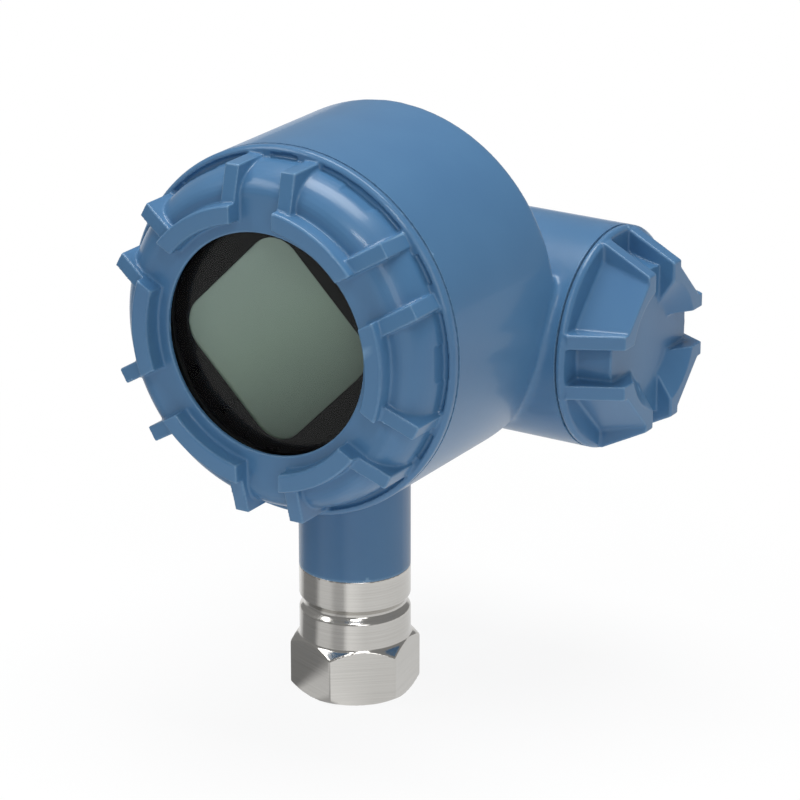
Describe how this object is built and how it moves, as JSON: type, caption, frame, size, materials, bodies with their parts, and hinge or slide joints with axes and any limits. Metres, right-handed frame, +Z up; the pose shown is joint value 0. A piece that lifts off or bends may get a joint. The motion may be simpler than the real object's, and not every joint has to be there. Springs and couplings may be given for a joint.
{
  "type": "wireless temperature transmitter",
  "caption": "Round cast wireless temperature transmitter with a glass-fronted display cover, a crosswise battery compartment with a screw cap, and a hex sensor adapter.",
  "frame": {"origin": "centre of the sensor thread's mouth, on the neck's axis", "axes": "+Z up along the neck to the body, display towards -Y, battery cap towards +X"},
  "size_m": [0.134, 0.1386, 0.1807],
  "materials": {
    "blue_paint": "semi-gloss blue coat on cast aluminium",
    "stainless": "turned stainless steel",
    "seal_rubber": "moulded black rubber",
    "window_glass": "clear flat glass",
    "black_moulding": "fine matt black moulding",
    "lcd_cell": "grey-green display film behind glass",
    "board_laminate": "green lacquered laminate",
    "brass": "machined brass",
    "tin_can": "tinned sheet steel",
    "grey_moulding": "dark grey moulding",
    "gold_contact": "gold-plated contact pins"
  },
  "bodies": {
    "housing": {"main_housing": "blue_paint", "sensor_adapter": "stainless", "adapter_seal": "seal_rubber", "display_bezel": "black_moulding", "lcd_panel": "lcd_cell", "display_board": "board_laminate", "display_standoffs": "brass", "antenna_strip": "brass", "main_board": "board_laminate", "radio_can": "tin_can", "board_connector": "black_moulding", "terminal_block": "black_moulding", "terminal_screws": "stainless", "electronics_module": "grey_moulding", "module_screws": "stainless", "compartment_plug": "black_moulding", "plug_pins": "gold_contact", "contact_block": "black_moulding", "contact_pins": "gold_contact", "power_module": "grey_moulding"},
    "front_cover_slide": {"front_cover_seal": "seal_rubber"},
    "front_cover": {"front_cover": "blue_paint", "window_glass": "window_glass", "window_gasket": "seal_rubber", "window_retainer": "black_moulding"},
    "battery_cap_slide": {"battery_cap_seal": "seal_rubber"},
    "battery_cap": {"battery_cap": "blue_paint"}
  },
  "joints": [
    {"name": "front_cover_travel", "type": "slide", "parent": "housing", "child": "front_cover_slide", "axis": [0, -1, 0], "range_m": [0, 0.01]},
    {"name": "front_cover_turn", "type": "hinge", "parent": "front_cover_slide", "child": "front_cover", "pos_m": [0, -0.032, 0.1247], "axis": [0, -1, 0], "range_deg": [0, 1800]},
    {"name": "battery_cap_travel", "type": "slide", "parent": "housing", "child": "battery_cap_slide", "axis": [1, 0, 0], "range_m": [0, 0.009]},
    {"name": "battery_cap_turn", "type": "hinge", "parent": "battery_cap_slide", "child": "battery_cap", "pos_m": [0.0594, 0.0504, 0.1094], "axis": [1, 0, 0], "range_deg": [0, 1620]}
  ],
  "couplings": [
    {"joint": "front_cover_travel", "follows": "front_cover_turn", "m_per_rad": 0.00031831},
    {"joint": "battery_cap_travel", "follows": "battery_cap_turn", "m_per_rad": 0.00031831}
  ]
}
